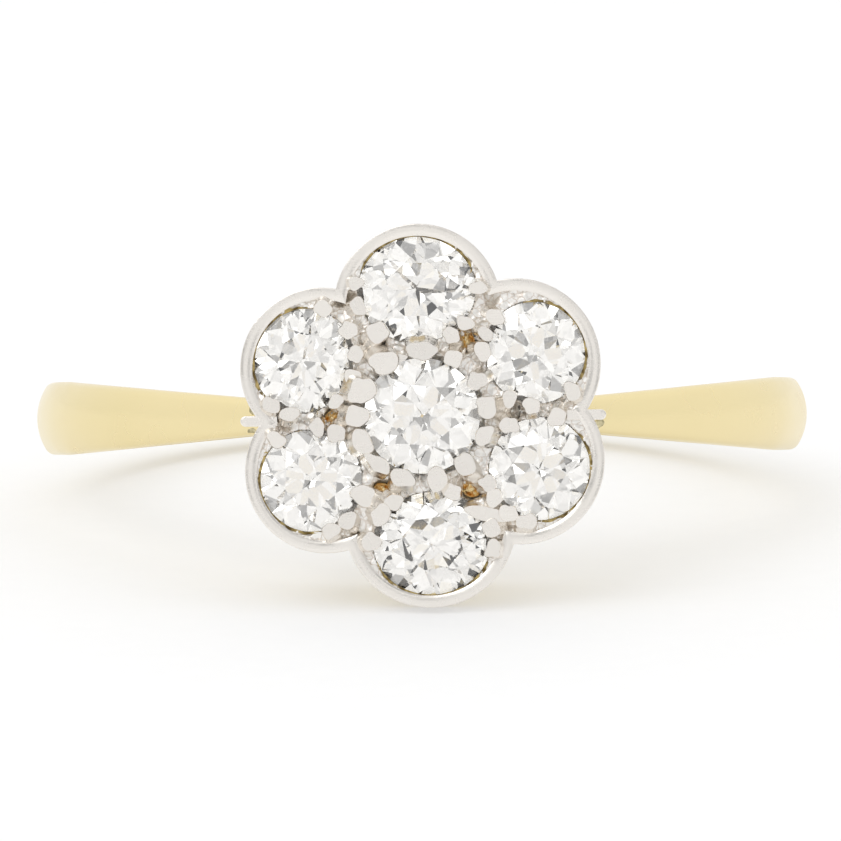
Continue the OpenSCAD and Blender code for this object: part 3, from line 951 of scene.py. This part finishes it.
def cut_stone(name, node, at, girdle, turn, deep, wide, spin, seed):
    """A round blank cut down facet by facet, then brought to its size and place."""
    blank = bmesh.new()
    bmesh.ops.create_cone(blank, cap_ends=True, segments=72, radius1=1, radius2=1, depth=4)
    for lead, distance in facet_planes(random.Random(seed)):
        whole = blank.verts[:] + blank.edges[:] + blank.faces[:]
        done = bmesh.ops.bisect_plane(blank, geom=whole, plane_co=lead * distance, plane_no=lead,
                                      clear_outer=True, dist=1e-6)
        edges = [e for e in done["geom_cut"] if isinstance(e, bmesh.types.BMEdge)]
        if edges:
            bmesh.ops.contextual_create(blank, geom=edges)
    bmesh.ops.recalc_face_normals(blank, faces=blank.faces)
    blank.verts.index_update()
    size = Matrix.Diagonal((deep / 2, wide / 2, (deep + wide) / 4))
    place = (Matrix.Rotation(math.radians(turn), 3, "Z") @ size
             @ Matrix.Rotation(math.radians(spin), 3, "Z"))
    points = [place @ v.co + Vector((at.x, at.y, girdle)) for v in blank.verts]
    faces = [tuple(v.index for v in f.verts) for f in blank.faces]
    blank.free()
    piece(name, points, faces, DIAMOND, node)


cut_stone("stone_centre", "centre_stone", Vector((0, 0)), GIRDLE_Z + LIFT, 0, CENTRE_D, CENTRE_D,
          CENTRE_SPIN, 1)
for i, row in enumerate(PETALS):
    cut_stone(f"stone_petal_{i + 1}", f"petal_stone_{i + 1}", stone_centre(i), GIRDLE_Z, row[TURN],
              row[DEEP], row[WIDE], row[SPIN], 11 + i)


# The studio: a white acrylic table, a white room with strip lights and one large soft lamp.
# The camera looks straight down on the head, from so far that the table fills the view.
VIEW_DISTANCE = 300
FOCAL_PX = 11712
PHOTO_PX = 841
SENSOR_MM = 36
HEAD_PX = (422, 416)
ROLL = 0.4
TABLE_REACH = 3.0
# Strip lights round the camera, with dull gaps between them: the way they lie in degrees, how
# many to the room's radius, their shift, the gaps' share and brightness, how softly a gap's
# edge fades, where the strips start and end in degrees off the camera's line, and over how
# many degrees they fade there. The diamonds pick them up. The flat metal and the band reflect
# what lies inside and outside.
STRIP_TURN = 45
STRIPS = 2.4
STRIP_SHIFT = 0.5
GAP_SHARE = 0.5
GAP_LEVEL = 0.36
GAP_FADE = 0.035
STRIPS_START = 14
STRIPS_END = 52
STRIPS_FADE = 3


def opal_acrylic():
    """Opal acrylic sheet lit from below: even and white, so that shadows stay faint on it."""
    made, tree, where = new_material("opal acrylic")
    grain = add(tree, "ShaderNodeTexNoise", {"Vector": where, "Scale": per_mm(0.7), "Detail": 3})
    tint = add(tree, "ShaderNodeMapRange", {"Value": grain.outputs["Fac"], "To Min": 0.54,
                                            "To Max": 0.56})
    sheet = add(tree, "ShaderNodeBsdfPrincipled",
                {"Base Color": tint.outputs["Result"], "Roughness": 0.9, "Specular IOR Level": 0.1,
                 "Emission Color": linear("FFFFFF"), "Emission Strength": 0.42})
    add(tree, "ShaderNodeOutputMaterial", {"Surface": sheet.outputs["BSDF"]})
    return made


def table():
    mesh = bpy.data.meshes.new("floor")
    corners = [(-1, -1, 0), (1, -1, 0), (1, 1, 0), (-1, 1, 0)]
    mesh.from_pydata([TABLE_REACH * Vector(c) for c in corners], [], [(0, 1, 2, 3)])
    mesh.materials.append(opal_acrylic())
    obj = bpy.data.objects.new("floor", mesh)
    bpy.context.scene.collection.objects.link(obj)


def room():
    """White on all sides and brighter overhead, with strip lights round the camera."""
    world = bpy.data.worlds.new("white room")
    bpy.context.scene.world = world
    world.use_nodes = True
    tree = world.node_tree
    tree.nodes.clear()
    way = add(tree, "ShaderNodeTexCoord").outputs["Generated"]
    height = add(tree, "ShaderNodeSeparateXYZ", {"Vector": way}).outputs["Z"]
    rise = add(tree, "ShaderNodeMapRange", {"Value": height, "From Max": 0.8, "To Min": 1.22,
                                            "To Max": 1.33})
    facing = add(tree, "ShaderNodeVectorMath", {0: way, 1: tuple(UP)}, operation="DOT_PRODUCT")
    shade = add(tree, "ShaderNodeMapRange", {"Value": facing.outputs["Value"], "From Min": 0.9,
                                             "From Max": 0.99, "To Min": 1.0, "To Max": 0.93})
    glow = add(tree, "ShaderNodeMath", {0: rise.outputs["Result"], 1: shade.outputs["Result"]},
               operation="MULTIPLY")
    beside = Matrix.Rotation(math.radians(STRIP_TURN), 3, UP) @ ACROSS
    across = add(tree, "ShaderNodeVectorMath", {0: way, 1: tuple(beside)}, operation="DOT_PRODUCT")
    row = add(tree, "ShaderNodeMath", {0: across.outputs["Value"], 1: STRIPS, 2: STRIP_SHIFT},
              operation="MULTIPLY_ADD")
    wave = add(tree, "ShaderNodeMath", {0: row.outputs["Value"], 1: 0.5}, operation="PINGPONG")
    strip = add(tree, "ShaderNodeMapRange", {
        "Value": wave.outputs["Value"], "From Min": GAP_SHARE / 2 - GAP_FADE,
        "From Max": GAP_SHARE / 2 + GAP_FADE, "To Min": GAP_LEVEL})
    outside = add(tree, "ShaderNodeMapRange", {
        "Value": facing.outputs["Value"],
        "From Min": math.cos(math.radians(STRIPS_END + STRIPS_FADE)),
        "From Max": math.cos(math.radians(STRIPS_END)),
        "To Min": 1.0, "To Max": strip.outputs["Result"]})
    inside = add(tree, "ShaderNodeMapRange", {
        "Value": facing.outputs["Value"],
        "From Min": math.cos(math.radians(STRIPS_START + STRIPS_FADE)),
        "From Max": math.cos(math.radians(STRIPS_START)),
        "To Min": outside.outputs["Result"], "To Max": 1.0})
    glow = add(tree, "ShaderNodeMath", {0: glow.outputs["Value"], 1: inside.outputs["Result"]},
               operation="MULTIPLY")
    back = add(tree, "ShaderNodeBackground", {"Strength": glow.outputs["Value"]})
    add(tree, "ShaderNodeOutputWorld", {"Surface": back.outputs["Background"]})


def lamp():
    light = bpy.data.lights.new("key", "AREA")
    light.shape = "RECTANGLE"
    light.size = 0.4
    light.size_y = 0.3
    light.energy = 0.6
    obj = bpy.data.objects.new("key", light)
    bpy.context.scene.collection.objects.link(obj)
    obj.location = (-0.25, -0.35, 0.45)
    obj.rotation_euler = (obj.location - CENTRE).to_track_quat("Z", "Y").to_euler()


def camera():
    lens = bpy.data.cameras.new("camera")
    lens.sensor_width = SENSOR_MM
    lens.lens = FOCAL_PX / PHOTO_PX * SENSOR_MM
    lens.clip_end = 10
    obj = bpy.data.objects.new("camera", lens)
    bpy.context.scene.collection.objects.link(obj)
    px_per_mm = FOCAL_PX / VIEW_DISTANCE
    off_x = (PHOTO_PX / 2 - HEAD_PX[0]) / px_per_mm
    off_y = (HEAD_PX[1] - PHOTO_PX / 2) / px_per_mm
    place = LAID @ Matrix.Translation(0.001 * Vector((off_x, off_y, VIEW_DISTANCE)))
    obj.matrix_world = place @ Matrix.Rotation(math.radians(-ROLL), 4, "Z")
    bpy.context.scene.camera = obj


table()
room()
lamp()
camera()
bpy.context.scene.view_settings.view_transform = "Standard"
bpy.context.scene.cycles.max_bounces = 24
bpy.context.scene.cycles.transmission_bounces = 24
bpy.context.scene.cycles.glossy_bounces = 8
bpy.context.scene.cycles.sample_clamp_indirect = 6
